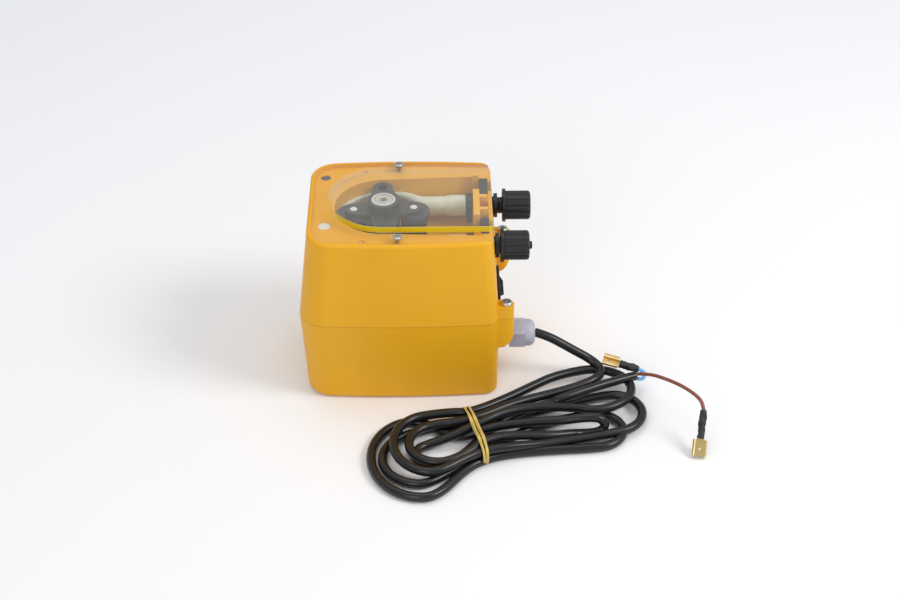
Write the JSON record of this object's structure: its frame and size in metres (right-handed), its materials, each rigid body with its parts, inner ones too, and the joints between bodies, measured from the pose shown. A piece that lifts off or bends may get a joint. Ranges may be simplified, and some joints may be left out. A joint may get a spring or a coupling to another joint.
{
  "type": "peristaltic dosing pump",
  "caption": "Yellow box-shaped peristaltic dosing pump with clear cover, dark roller rotor, fluted hose nuts and a banded mains cable.",
  "frame": {"origin": "centre of the flat back (wall) face", "axes": "+Z from the back towards the clear front cover, +X towards the hose fittings and cable gland"},
  "size_m": [0.2702, 0.2192, 0.133],
  "materials": {
    "housing_yellow": "warm yellow-orange moulded plastic, satin gloss",
    "clear_plastic": "clear moulded cover",
    "dark_plastic": "dark grey moulded plastic, satin",
    "black_plastic": "black moulded plastic",
    "gland_grey": "light blue-grey nylon",
    "steel": "bright plated steel",
    "dark_steel": "blackened steel",
    "bearing_steel": "ground bearing steel",
    "cream_plastic": "cream plastic",
    "hose_rubber": "translucent beige-green pump hose",
    "seal_rubber": "black rubber seal",
    "cable_black": "charcoal black cable sheath",
    "band_yellow": "mustard rubber band",
    "wire_brown": "brown wire insulation",
    "wire_blue": "light blue wire insulation",
    "sleeve_black": "black heat-shrink sleeve",
    "brass": "bright stamped brass",
    "copper": "enamelled copper winding",
    "gear_plastic": "white acetal",
    "grey_casting": "die-cast alloy"
  },
  "bodies": {
    "housing": {"rear_shell": "housing_yellow", "front_shell": "housing_yellow", "clear_cover": "clear_plastic", "cover_screws": "steel", "shell_screws": "steel", "deck_screw": "dark_steel", "deck_plug": "cream_plastic", "pump_hose": "hose_rubber", "hose_clamps": "black_plastic", "suction_connector": "black_plastic", "discharge_connector": "black_plastic", "bearing_inner_ring": "bearing_steel", "idler_pin": "steel", "gear_case": "black_plastic", "case_screws": "steel", "output_bush": "brass", "motor_plate": "grey_casting", "motor_can": "steel", "motor_screws": "steel", "motor_stator": "steel", "motor_coil": "copper", "gland_body": "gland_grey", "gland_locknut": "gland_grey", "gland_seal": "seal_rubber", "gland_cap": "gland_grey", "switch_body": "black_plastic", "terminal_block": "cream_plastic", "terminal_screws": "steel", "cable_inside": "cable_black", "cable_cores": "wire_brown", "cable_lead": "cable_black", "cable_hank": "cable_black", "cable_tail": "cable_black", "rubber_band": "band_yellow", "brown_wire": "wire_brown", "blue_wire": "wire_blue", "shrink_sleeves": "sleeve_black", "spade_terminals": "brass"},
    "rotor": {"rotor_frame": "dark_plastic", "rotor_grub_screw": "dark_steel", "roller_pins": "cream_plastic", "bearing_outer_ring": "bearing_steel", "bearing_balls": "bearing_steel", "output_shaft": "steel", "output_gear": "gear_plastic"},
    "left_roller": {"left_roller": "cream_plastic"},
    "right_roller": {"right_roller": "cream_plastic"},
    "idler": {"idler_gear": "gear_plastic"},
    "motor_rotor": {"motor_magnet": "dark_steel", "motor_shaft": "steel", "motor_pinion": "brass"},
    "suction_ring": {"suction_pinch_ring": "black_plastic"},
    "suction_nut": {"suction_nut": "black_plastic"},
    "discharge_ring": {"discharge_pinch_ring": "black_plastic"},
    "discharge_nut": {"discharge_nut": "black_plastic"},
    "rocker": {"switch_rocker": "black_plastic"}
  },
  "joints": [
    {"name": "rotor_spin", "type": "hinge", "parent": "housing", "child": "rotor", "pos_m": [-0.0098, 0, 0.1085], "axis": [0, 0, 1], "continuous": true},
    {"name": "left_roller_spin", "type": "hinge", "parent": "rotor", "child": "left_roller", "pos_m": [-0.02988, -0.00088, 0.1085], "axis": [0, 0, 1], "continuous": true},
    {"name": "right_roller_spin", "type": "hinge", "parent": "rotor", "child": "right_roller", "pos_m": [0.01028, 0.00088, 0.1085], "axis": [0, 0, 1], "continuous": true},
    {"name": "idler_spin", "type": "hinge", "parent": "housing", "child": "idler", "pos_m": [0.0142, 0, 0.08], "axis": [0, 0, 1], "continuous": true},
    {"name": "motor_spin", "type": "hinge", "parent": "housing", "child": "motor_rotor", "pos_m": [-0.0098, 0, 0.06], "axis": [0, 0, 1], "continuous": true},
    {"name": "suction_nut_travel", "type": "slide", "parent": "housing", "child": "suction_ring", "axis": [1, 0, 0], "range_m": [-0.0005, 0.0087]},
    {"name": "suction_nut_turn", "type": "hinge", "parent": "suction_ring", "child": "suction_nut", "pos_m": [0.06742, -0.0242, 0.1085], "axis": [1, 0, 0], "range_deg": [-91, 1567]},
    {"name": "discharge_nut_travel", "type": "slide", "parent": "housing", "child": "discharge_ring", "axis": [1, 0, 0], "range_m": [-0.0032, 0.006]},
    {"name": "discharge_nut_turn", "type": "hinge", "parent": "discharge_ring", "child": "discharge_nut", "pos_m": [0.06742, 0.0242, 0.1085], "axis": [1, 0, 0], "range_deg": [-577, 1081]},
    {"name": "rocker_tilt", "type": "hinge", "parent": "housing", "child": "rocker", "pos_m": [0.06521, -0.022, 0.07613], "axis": [-0.0684, 0, 0.9977], "range_deg": [-18, 0]}
  ],
  "couplings": [
    {"joint": "left_roller_spin", "follows": "rotor_spin", "ratio": -3.2333},
    {"joint": "right_roller_spin", "follows": "rotor_spin", "ratio": -3.2333},
    {"joint": "idler_spin", "follows": "rotor_spin", "ratio": -3},
    {"joint": "motor_spin", "follows": "rotor_spin", "ratio": 9},
    {"joint": "suction_nut_turn", "follows": "suction_nut_travel", "rad_per_m": 3141.6},
    {"joint": "discharge_nut_turn", "follows": "discharge_nut_travel", "rad_per_m": 3141.6}
  ]
}
